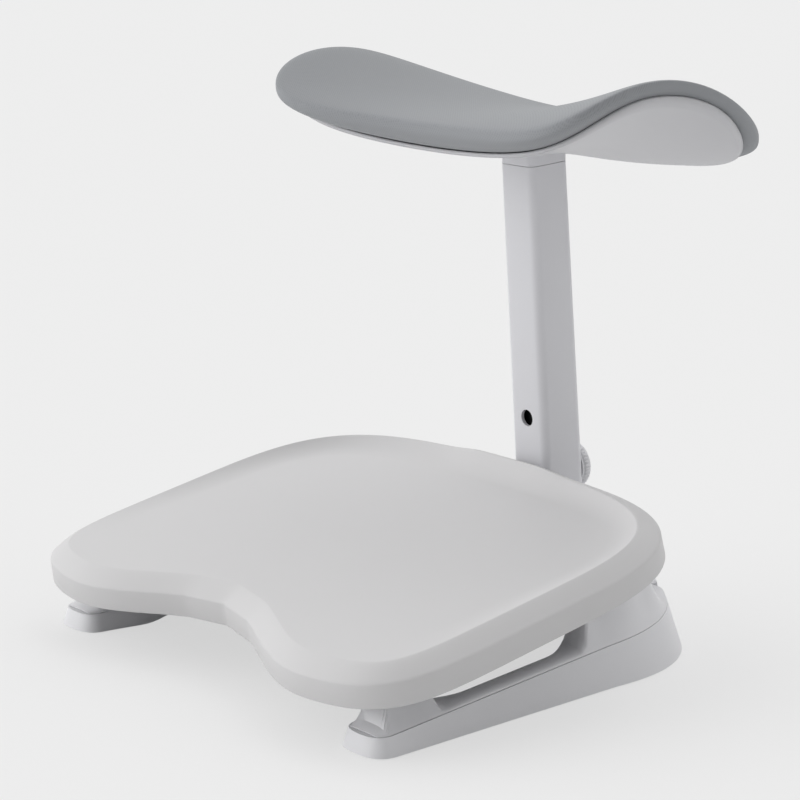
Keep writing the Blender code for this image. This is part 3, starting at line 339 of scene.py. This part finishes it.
def ring_surface(rings, tip=None):
    """A surface through closed rings, drawn to a tip at its end where one is given."""
    bm = bmesh.new()
    loops = [[bm.verts.new(p) for p in ring] for ring in rings]
    count = len(loops[0])
    for outer, inner in zip(loops, loops[1:]):
        for k in range(count):
            n = (k + 1) % count
            bm.faces.new((outer[k], outer[n], inner[n], inner[k]))
    if tip is not None:
        point = bm.verts.new(tip)
        for k in range(count):
            bm.faces.new((loops[-1][k], loops[-1][(k + 1) % count], point))
    bmesh.ops.recalc_face_normals(bm, faces=bm.faces)
    if sum(face.normal.z * face.calc_area() for face in bm.faces) < 0:
        bmesh.ops.reverse_faces(bm, faces=bm.faces)
    return bm


def add_wall(piece, thickness):
    """Thicken an open surface on its far side."""
    step = piece.modifiers.new("wall", "SOLIDIFY")
    step.thickness = thickness
    step.offset = -1.0
    step.use_even_offset = True


# Foot deck


def deck_outline():
    """The deck's edge: a rounded rectangle with a broad notch in its front."""
    half_depth = (DECK_FRONT + DECK_REAR) / 2
    middle = (DECK_REAR - DECK_FRONT) / 2
    half = []
    for squareness, start in ((FRONT_SQUARENESS, -math.pi / 2), (REAR_SQUARENESS, 0.0)):
        for x, y in power_arc(DECK_WIDTH / 2, half_depth, squareness, start, start + math.pi / 2,
                              OUTLINE_STEPS):
            if y < 0 and x < NOTCH_HALF:
                y += NOTCH_DEPTH * math.cos(math.pi * x / NOTCH_HALF / 2) ** NOTCH_POWER
            half.append((max(x, 0.0), middle + y))
    half[0] = (0.0, half[0][1])
    half[-1] = (0.0, half[-1][1])
    return evenly(half + [(-x, y) for x, y in reversed(half[1:-1])], DECK_POINTS)


OUTLINE = deck_outline()


def rim_height(inset, x, y):
    """Height of the rolled rim and the dish inside it, over the crease."""
    rolled = RIM_HEIGHT * (1 - max(1 - inset / RIM_WIDTH, 0.0) ** RIM_ROUND)
    if y > 0:
        rise = REAR_RISE / (1 + (x / REAR_RISE_HALF) ** 6)
        rolled += rise * (smooth(inset / RIM_WIDTH) - fall((inset - RIM_WIDTH) / DISH_SLOPE))
    dish_length = DECK_FRONT + DECK_REAR - DISH_START - RIM_WIDTH
    depth = DISH_DEPTH * min(max((y + DECK_FRONT - DISH_START) / dish_length, 0.0), 1.0)
    return rolled - depth * fall((inset - RIM_WIDTH) / DISH_SLOPE)


def deck_ring(inset, level=None):
    """The outline moved in, at a level under the crease or on the rim and dish."""
    ring = []
    for k, (x, y) in enumerate(OUTLINE):
        ahead, behind = OUTLINE[(k + 1) % DECK_POINTS], OUTLINE[k - 1]
        along = Vector((ahead[0] - behind[0], ahead[1] - behind[1])).normalized()
        px, py = x - along.y * inset, y + along.x * inset
        ring.append(Vector((px, py, rim_height(inset, px, py) if level is None else level)))
    return ring


DECK_PLACE = Matrix.Translation((0.0, SHIFT, DECK_HEIGHT)) @ Matrix.Rotation(DECK_TILT, 4, "X")
deck_rings = [deck_ring(DECK_FILLET - DECK_DRAFT, -DECK_WALL),
              deck_ring(DECK_FILLET * FILLET_BEND - DECK_DRAFT, -DECK_WALL + DECK_FILLET * FILLET_BEND),
              deck_ring(-DECK_DRAFT, -DECK_WALL + DECK_FILLET),
              deck_ring(-DECK_DRAFT * CREASE_DRAFT, -DECK_FILLET),
              deck_ring(0.0, -DECK_FILLET * CREASE_BEND)]
deck_rings += [deck_ring(RIM_WIDTH * (RIM_START + (1 - RIM_START) * k / RIM_STEPS))
               for k in range(RIM_STEPS + 1)]
deck_rings += [deck_ring(RIM_WIDTH + DISH_SLOPE * ((k + 1) / SLOPE_STEPS) ** SLOPE_BUNCHING)
               for k in range(SLOPE_STEPS)]
floor_ring = deck_rings[-1]
for share in FLOOR_SHARES:
    deck_rings.append([Vector((p.x * share, p.y * share, rim_height(1.0, p.x * share, p.y * share)))
                       for p in floor_ring])
deck_bm = ring_surface([[DECK_PLACE @ p for p in ring] for ring in deck_rings],
                       DECK_PLACE @ Vector((0.0, 0.0, rim_height(1.0, 0.0, 0.0))))
deck = show("deck", deck_bm, DECK_PLASTIC, "base", ("deck_top",), DECK_SHARP)
add_wall(deck, DECK_SKIN)


# Leg pad

PAD_RIM = evenly(power_arc(PAD_HALF, PAD_REACH, PAD_SQUARENESS, 0.0, math.tau, PAD_RIM_STEPS)[:-1],
                 PAD_POINTS)


def pad_level(u, v):
    """Height of the pad's top: wings rise to the sides, and the front and rear roll down."""
    valley = (math.hypot(u, PAD_VALLEY) - PAD_VALLEY) / (math.hypot(1.0, PAD_VALLEY) - PAD_VALLEY)
    return PAD_HEIGHT + PAD_WING * valley - PAD_PITCH * v - (PAD_CROWN + PAD_WING_CROWN * u * u) * v * v


def pad_point(u, v, drop):
    """A point of the pad at shares of its half width and reach, some way under its top."""
    y = PAD_LINE + PAD_REACH * v - PAD_SWEEP * u * u
    return Vector((PAD_HALF * u, y + SHIFT, pad_level(u, v) - drop))


def rim_share(u, v):
    """How far out a point of the pad lies, as a share of the way to its rim."""
    return (abs(u) ** PAD_SQUARENESS + abs(v) ** PAD_SQUARENESS) ** (1 / PAD_SQUARENESS)


def hull(rho):
    """Extra depth of the foam and shell inside the rim."""
    return PAD_HULL * (1 - rho ** PAD_HULL_POWER)


def pad_roll(rho):
    """The rim's round section: share of half the edge's thickness at a share of the way out."""
    return (1 - min(rho, 1.0) ** PAD_ROLL) ** (1 / PAD_ROLL)


def pad_under(rho):
    """Depth of the pad's underside from its top."""
    return PAD_EDGE / 2 * (1 + pad_roll(rho)) + hull(rho) + PAD_BED * pad_roll(rho)


def pad_over(rho):
    """Depth of the pad's top before it is blown up, from the pad's finished top."""
    return PAD_EDGE / 2 * (1 - pad_roll(rho)) + PAD_SINK * (1 - rho ** PAD_ROLL)


def pad_seat(rho):
    """Depth of the pad's hidden underside, which lies in the shell."""
    return min(pad_under(rho), PAD_EDGE + hull(rho))


rim_shares = [1 - (1 - ROLL_EDGE) * (k / ROLL_STEPS) ** 2 for k in range(ROLL_STEPS + 1)]
field_shares = [ROLL_EDGE * (1 - (k + 1) / (FIELD_STEPS + 1)) for k in range(FIELD_STEPS)]
shares = rim_shares + field_shares
GRID_LINES = [-share for share in shares] + [0.0] + shares[::-1]


def pad_form():
    """The pad before it is blown up: a top and an underside on one grid, which meet at the rim."""
    bm = bmesh.new()
    for depth in (pad_over, pad_seat):
        rows = []
        for t in GRID_LINES:
            row = []
            for s in GRID_LINES:
                rho = max(abs(s), abs(t))
                scale = rho / rim_share(s, t) if rho else 0.0
                vert = bm.verts.new(pad_point(s * scale, t * scale, depth(rho)))
                vert.tag = depth is pad_seat or rho > HELD_EDGE
                row.append(vert)
            rows.append(row)
        for near, far in zip(rows, rows[1:]):
            for k in range(len(near) - 1):
                bm.faces.new((near[k], near[k + 1], far[k + 1], far[k]))
    bmesh.ops.remove_doubles(bm, verts=bm.verts, dist=MERGE_DISTANCE)
    bmesh.ops.recalc_face_normals(bm, faces=bm.faces)
    bm.verts.index_update()
    return bm, [vert.index for vert in bm.verts if vert.tag]


pad_bm, held_points = pad_form()
pad = show("leg_pad", pad_bm, FABRIC, "post", ("pad_cover", "pad_foam"), PAD_SHARP)


def puff(piece, held):
    """Blow the pad up a little as cloth with its underside held, and keep the movement small."""
    mesh = piece.data
    start = [v.co.copy() for v in mesh.vertices]
    group = piece.vertex_groups.new(name="held")
    group.add(held, 1.0, "REPLACE")
    cloth = piece.modifiers.new("cloth", "CLOTH")
    settings = cloth.settings
    settings.quality = CLOTH_QUALITY
    settings.mass = CLOTH_MASS
    settings.tension_stiffness = CLOTH_TENSION
    settings.compression_stiffness = CLOTH_TENSION
    settings.shear_stiffness = CLOTH_SHEAR
    settings.bending_stiffness = CLOTH_BENDING
    settings.use_pressure = True
    settings.uniform_pressure_force = CLOTH_PRESSURE
    settings.effector_weights.gravity = 0.0
    settings.vertex_group_mass = "held"
    cloth.point_cache.frame_start = 1
    cloth.point_cache.frame_end = CLOTH_FRAMES
    scene = bpy.context.scene
    for number in range(1, CLOTH_FRAMES + 1):
        scene.frame_set(number)
    blown = piece.evaluated_get(bpy.context.evaluated_depsgraph_get())
    moved = [v.co.copy() for v in blown.data.vertices]
    piece.modifiers.remove(cloth)
    scene.frame_set(1)
    steps = [after - before for before, after in zip(start, moved)]
    for _ in range(CLOTH_CALM):
        steps = calmed(mesh, steps, set(held))
    for vert, before, step in zip(mesh.vertices, start, steps):
        if step.length > CLOTH_LIMIT:
            step *= CLOTH_LIMIT / step.length
        vert.co = before + step
    mesh.update()


def calmed(mesh, steps, held):
    """The movement of each loose point evened out with its neighbours', so that no wrinkles stay."""
    totals = [step.copy() for step in steps]
    counts = [1] * len(steps)
    for edge in mesh.edges:
        a, b = edge.vertices
        totals[a] += steps[b]
        totals[b] += steps[a]
        counts[a] += 1
        counts[b] += 1
    return [steps[k] if k in held else totals[k] / counts[k] for k in range(len(steps))]


puff(pad, held_points)
soften = pad.modifiers.new("soften", "SUBSURF")
soften.levels = 1
soften.render_levels = 1

# The shell under the pad, with the boss that takes the bracket


def shell_depth(rho):
    """Depth of the shell's upper face, in which the foam lies."""
    return PAD_EDGE + SHELL_GAP + hull(rho)


def lip_depth(rho):
    """Depth of the shell's edge, which meets the cover."""
    return pad_under(rho) + SHELL_GAP


def shell_ring(scale, depth):
    """A ring of the shell, which keeps further in along the pad's front and rear than at its wings."""
    ring = []
    for x, y in PAD_RIM:
        u, v = scale * SHELL_ACROSS * x / PAD_HALF, scale * SHELL_ALONG * y / PAD_REACH
        ring.append(pad_point(u, v, depth(rim_share(u, v))))
    return ring


shell_rings = [shell_ring(1.0, lip_depth)]
for k in range(SHELL_STEPS):
    shell_rings.append(shell_ring((1 - SHELL_LIP) * (1 - (k / SHELL_STEPS) ** SHELL_BUNCHING), shell_depth))
shell_bm = ring_surface(shell_rings, pad_point(0.0, 0.0, shell_depth(0.0)))
shell = show("pad_shell_skin", shell_bm, PAD_PLASTIC, "post", ("pad_shell",))
add_wall(shell, SHELL_SKIN)

POST_PLACE = Matrix.Translation((0.0, POST_LINE + SHIFT, LOCK_HEIGHT)) @ Matrix.Rotation(POST_LEAN, 4, "X")


def round_square(half, radius, height, steps=8):
    """A square with round corners at one height."""
    ring = []
    for corner in range(4):
        cx = (half - radius) * (1 if corner in (0, 3) else -1)
        cy = (half - radius) * (1 if corner in (0, 1) else -1)
        for k in range(steps + 1):
            angle = (corner + k / steps) * math.pi / 2
            ring.append(Vector((cx + radius * math.cos(angle), cy + radius * math.sin(angle), height)))
    return ring


def shell_underside(x, y):
    """Height of the middle of the shell's skin over a point of the plan."""
    u = x / PAD_HALF
    v = (y - SHIFT - PAD_LINE + PAD_SWEEP * u * u) / PAD_REACH
    return pad_level(u, v) - shell_depth(rim_share(u, v)) - SHELL_SKIN / 2


boss_foot = [POST_PLACE @ p for p in round_square(POST_HEAD_SIZE / 2, POST_RADIUS, BOSS_LOW)]
boss_head = [Vector((p.x, p.y, shell_underside(p.x, p.y))) for p in boss_foot]
boss_bm = ring_surface([boss_foot, boss_head])
show("shell_boss", boss_bm, POST_PLASTIC, "post", ())

# Finishes of the CAD pieces that stay in view


def smooth_by_angle():
    """A node group that shades a mesh smooth, with its corners kept sharp."""
    group = bpy.data.node_groups.new("smooth_by_angle", "GeometryNodeTree")
    for side in ("INPUT", "OUTPUT"):
        group.interface.new_socket("Geometry", in_out=side, socket_type="NodeSocketGeometry")
    enter = group.nodes.new("NodeGroupInput")
    leave = group.nodes.new("NodeGroupOutput")
    angle = group.nodes.new("GeometryNodeInputMeshEdgeAngle")
    shallow = group.nodes.new("FunctionNodeCompare")
    shallow.operation = "LESS_EQUAL"
    shallow.inputs["B"].default_value = EDGE_ANGLE
    faces = group.nodes.new("GeometryNodeSetShadeSmooth")
    edges = group.nodes.new("GeometryNodeSetShadeSmooth")
    edges.domain = "EDGE"
    group.links.new(angle.outputs["Unsigned Angle"], shallow.inputs["A"])
    group.links.new(shallow.outputs["Result"], edges.inputs["Shade Smooth"])
    group.links.new(enter.outputs[0], faces.inputs["Geometry"])
    group.links.new(faces.outputs["Geometry"], edges.inputs["Geometry"])
    group.links.new(edges.outputs["Geometry"], leave.inputs[0])
    return group


SMOOTH = smooth_by_angle()
slots = {entry["node"]: entry["material_slot"] for entry in frame["record"]["subparts"]}
for name, piece in nodes.items():
    piece.data.materials.clear()
    piece.data.materials.append(NODE_FINISHES.get(name, FINISHES[slots[name]]))
    weld = piece.modifiers.new("weld", "WELD")
    weld.merge_threshold = WELD_DISTANCE
    shading = piece.modifiers.new("smooth", "NODES")
    shading.node_group = SMOOTH
    if name in BEVELLED:
        bevel = piece.modifiers.new("edges", "BEVEL")
        bevel.width = EDGE_BEVEL
        bevel.segments = EDGE_SEGMENTS
        bevel.limit_method = "ANGLE"
        bevel.angle_limit = EDGE_ANGLE
        bevel.harden_normals = True


# Floor, light and camera

bpy.ops.mesh.primitive_plane_add(size=GROUND_SIZE, location=(0.0, 0.0, 0.0))
ground = bpy.context.object
ground.name = "ground"
GROUND = surface("pale_ground", (0.82, 0.82, 0.82), 0.9, 0.01, 0.00001, 0.005, specular=0.0)
ground.data.materials.append(GROUND)


def add_glow(material):
    """Let the eye and clear reflections see a pale glow in the floor, over which its shadows stay."""
    tree = material.node_tree
    shader = tree.nodes["Principled BSDF"]
    leave = tree.nodes["Material Output"]
    rays = tree.nodes.new("ShaderNodeLightPath")
    seen = rays.outputs["Is Camera Ray"]
    for kind in ("Is Glossy Ray", "Is Transmission Ray"):
        either = tree.nodes.new("ShaderNodeMath")
        either.operation = "MAXIMUM"
        tree.links.new(seen, either.inputs[0])
        tree.links.new(rays.outputs[kind], either.inputs[1])
        seen = either.outputs["Value"]
    share = tree.nodes.new("ShaderNodeMath")
    share.operation = "MULTIPLY"
    share.inputs[1].default_value = GROUND_GLOW_SHARE
    tree.links.new(seen, share.inputs[0])
    glow = tree.nodes.new("ShaderNodeEmission")
    glow.inputs["Strength"].default_value = GROUND_GLOW
    mix = tree.nodes.new("ShaderNodeMixShader")
    tree.links.new(share.outputs["Value"], mix.inputs["Fac"])
    tree.links.new(shader.outputs["BSDF"], mix.inputs[1])
    tree.links.new(glow.outputs["Emission"], mix.inputs[2])
    tree.links.new(mix.outputs["Shader"], leave.inputs["Surface"])


add_glow(GROUND)


def sky_world():
    """A world whose level depends on the direction alone: a faint level and a few wide soft lights."""
    world = bpy.data.worlds.new("studio")
    world.use_nodes = True
    tree = world.node_tree
    place = tree.nodes.new("ShaderNodeTexCoord")

    def math_node(operation, value, other):
        """One step of arithmetic on a value, with a number or another value."""
        step = tree.nodes.new("ShaderNodeMath")
        step.operation = operation
        tree.links.new(value, step.inputs[0])
        if isinstance(other, float):
            step.inputs[1].default_value = other
        else:
            tree.links.new(other, step.inputs[1])
        return step.outputs["Value"]

    total = None
    for azimuth, elevation, scale in SKY_LIGHTS.values():
        turn, rise = math.radians(azimuth), math.radians(elevation)
        dot = tree.nodes.new("ShaderNodeVectorMath")
        dot.operation = "DOT_PRODUCT"
        dot.inputs[1].default_value = (math.cos(turn) * math.cos(rise), math.sin(turn) * math.cos(rise),
                                       math.sin(rise))
        tree.links.new(place.outputs["Generated"], dot.inputs[0])
        facing = math_node("MAXIMUM", dot.outputs["Value"], 0.0)
        light = math_node("MULTIPLY", math_node("POWER", facing, SKY_LIGHT_POWER), scale)
        total = math_node("ADD", light, total or SKY_LEVEL)
    tree.links.new(total, tree.nodes["Background"].inputs["Strength"])
    tree.nodes["Background"].inputs["Color"].default_value = (1.0, 1.0, 1.0, 1.0)
    return world


bpy.context.scene.world = sky_world()

camera_data = bpy.data.cameras.new("camera")
camera_data.lens = CAMERA_LENS
camera = bpy.data.objects.new("camera", camera_data)
camera.location = (CAMERA_EYE[0], CAMERA_EYE[1] + SHIFT, CAMERA_EYE[2])
camera.rotation_euler = (math.pi / 2 - CAMERA_ELEVATION, 0.0, CAMERA_AZIMUTH)
bpy.context.scene.collection.objects.link(camera)
bpy.context.scene.camera = camera
bpy.context.scene.view_settings.view_transform = "Standard"

bpy.context.view_layer.update()
